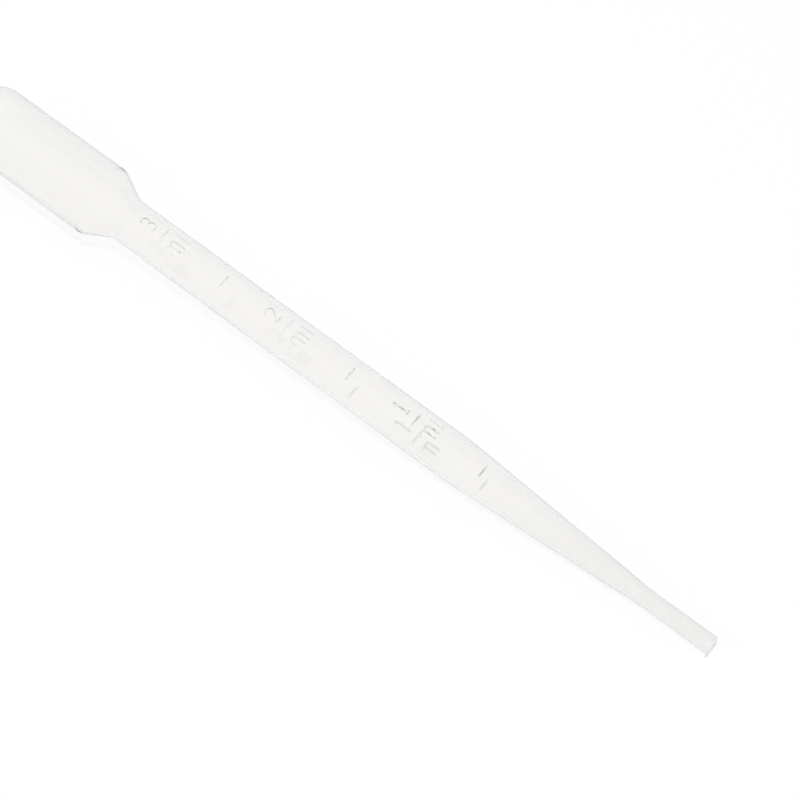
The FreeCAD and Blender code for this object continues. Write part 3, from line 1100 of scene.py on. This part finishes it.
def lying_place():
    """Where the middle of the mouth lies on the table."""
    wall = bpy.context.scene.pipette_wall
    stem = Vector(MOUNTS["stem"]["pos_m"])
    _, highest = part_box(NODE)
    mouth_x = highest.x - wall.mouth_diameter / 2 * sin(LYING_ANGLE)
    return stem + AXIS * (mouth_x - stem.x) / AXIS.x


class PIPETTE_OT_mould_wall(bpy.types.Operator):
    """Make the pipette's moulded wall with its marks, and give it its finish"""

    bl_idname = "pipette.mould_wall"
    bl_label = "Mould the Wall"

    def execute(self, context):
        wall = context.scene.pipette_wall
        helpers = [ring_object(), engraving_object()]
        for helper in helpers:
            context.collection.objects.link(helper)
        inputs = {
            "Ring": helpers[0],
            "Engraving": helpers[1],
            "Parting width": wall.parting_width,
            "Parting height": wall.parting_height,
            "Unevenness": wall.unevenness,
            "Taper start": wall.tip_length,
            "Taper end": wall.tip_length + wall.taper_length,
            "Weld thickness": wall.weld_thickness,
            "Weld radius": weld_arc() - wall.weld_thickness / 2,
            "Weld centre": weld_arc() - bulb_end() - wall.weld_height,
            "Lying place": lying_place(),
            "Lying turn": (0, LYING_ANGLE, 0),
            "Wall finish": plastic_material(),
            "Cut finish": cut_material(),
        }
        mesh = run_tree(section_object(), wall_tree(), inputs)
        for helper in helpers:
            discard(helper)
        mesh.shade_smooth()
        mesh.set_sharp_from_angle(angle=SHARP_EDGE)
        piece = bpy.data.objects.new("pipette_wall", mesh)
        context.collection.objects.link(piece)
        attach(piece, BODY)
        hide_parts(NODE)
        return {"FINISHED"}


def room_world():
    """Even light from all round, which looks whiter than it lights. Its far side is a little darker."""
    studio = bpy.context.scene.pipette_studio
    near_side, far_side = -0.3, 0.9
    world = bpy.data.worlds.new("room")
    world.use_nodes = True
    tree = world.node_tree
    background = tree.nodes["Background"]
    direction = tree.nodes.new("ShaderNodeTexCoord").outputs["Generated"]
    away = add_node(tree, "ShaderNodeSeparateXYZ", {0: direction}).outputs["Y"]
    shown = eased(tree, away, near_side, far_side, studio.room_front, studio.room_back)
    whiter = calc(tree, "MULTIPLY", looked_at(tree), calc(tree, "SUBTRACT", shown, studio.sky))
    level = calc(tree, "ADD", whiter, studio.sky)
    grey = add_node(tree, "ShaderNodeCombineXYZ", {0: level, 1: level, 2: level})
    tree.links.new(grey.outputs[0], background.inputs["Color"])
    background.inputs["Strength"].default_value = 1
    return world


def add_lamp(name, place, size, power):
    """A square soft lamp that looks at the middle of the table."""
    lamp = bpy.data.lights.new(name, "AREA")
    lamp.size = size
    lamp.energy = power
    stand = bpy.data.objects.new(name, lamp)
    stand.location = place
    stand.rotation_euler = Vector(place).to_track_quat("Z", "Y").to_euler()
    stand.visible_glossy = False
    stand.visible_transmission = False
    bpy.context.collection.objects.link(stand)


def add_camera():
    """A camera that looks down on the pipette, turned so that the tip points down to the right."""
    studio = bpy.context.scene.pipette_studio
    turn, lift = studio.camera_azimuth, studio.camera_elevation
    back = Vector((sin(turn) * cos(lift), -cos(turn) * cos(lift), sin(lift)))
    aside = AXIS.cross(back).normalized() * -1
    aim = lying_place() - AXIS * studio.aim_from_mouth + aside * studio.aim_aside
    lens = bpy.data.cameras.new("camera")
    lens.lens = studio.focal_length
    lens.clip_start = 10 * MM
    camera = bpy.data.objects.new("camera", lens)
    camera.location = aim + back * studio.camera_distance
    camera.rotation_euler = (pi / 2 - lift, 0, turn)
    bpy.context.collection.objects.link(camera)
    bpy.context.scene.camera = camera


class PIPETTE_OT_set_stage(bpy.types.Operator):
    """Make the white table, the lamps, the room's light and the camera"""

    bl_idname = "pipette.set_stage"
    bl_label = "Set the Stage"

    def execute(self, context):
        studio = context.scene.pipette_studio
        bpy.ops.mesh.primitive_plane_add(size=TABLE_SIZE)
        table = context.object
        table.name = "table"
        table.data.materials.append(table_material())
        context.scene.world = room_world()
        add_lamp("key_lamp", KEY_PLACE, KEY_SIZE, studio.key_power)
        add_lamp("fill_lamp", FILL_PLACE, FILL_SIZE, studio.fill_power)
        add_camera()
        context.scene.view_settings.view_transform = "Standard"
        return {"FINISHED"}


class PIPETTE_PT_panel(bpy.types.Panel):
    """The pipette's steps and settings"""

    bl_label = "Dropper Pipette"
    bl_idname = "PIPETTE_PT_panel"
    bl_space_type = "VIEW_3D"
    bl_region_type = "UI"
    bl_category = "Pipette"

    def draw(self, context):
        for operator in OPERATORS:
            self.layout.operator(operator.bl_idname)
        for name, group in SETTINGS.items():
            box = self.layout.box()
            box.label(text=group.__doc__)
            for setting in group.__annotations__:
                box.prop(getattr(context.scene, name), setting)


OPERATORS = (PIPETTE_OT_mould_wall, PIPETTE_OT_set_stage)
SETTINGS = {
    "pipette_wall": WallSizes,
    "pipette_marks": MarkSizes,
    "pipette_plastic": PlasticFinish,
    "pipette_studio": StudioSettings,
}


def register():
    for kind in (*SETTINGS.values(), *OPERATORS, PIPETTE_PT_panel):
        bpy.utils.register_class(kind)
    for name, group in SETTINGS.items():
        setattr(bpy.types.Scene, name, bpy.props.PointerProperty(type=group))


def unregister():
    for name in SETTINGS:
        delattr(bpy.types.Scene, name)
    for kind in (PIPETTE_PT_panel, *reversed(OPERATORS), *reversed(SETTINGS.values())):
        bpy.utils.unregister_class(kind)


def main():
    register()
    bpy.ops.pipette.mould_wall()
    bpy.ops.pipette.set_stage()


if __name__ == "__main__":
    main()
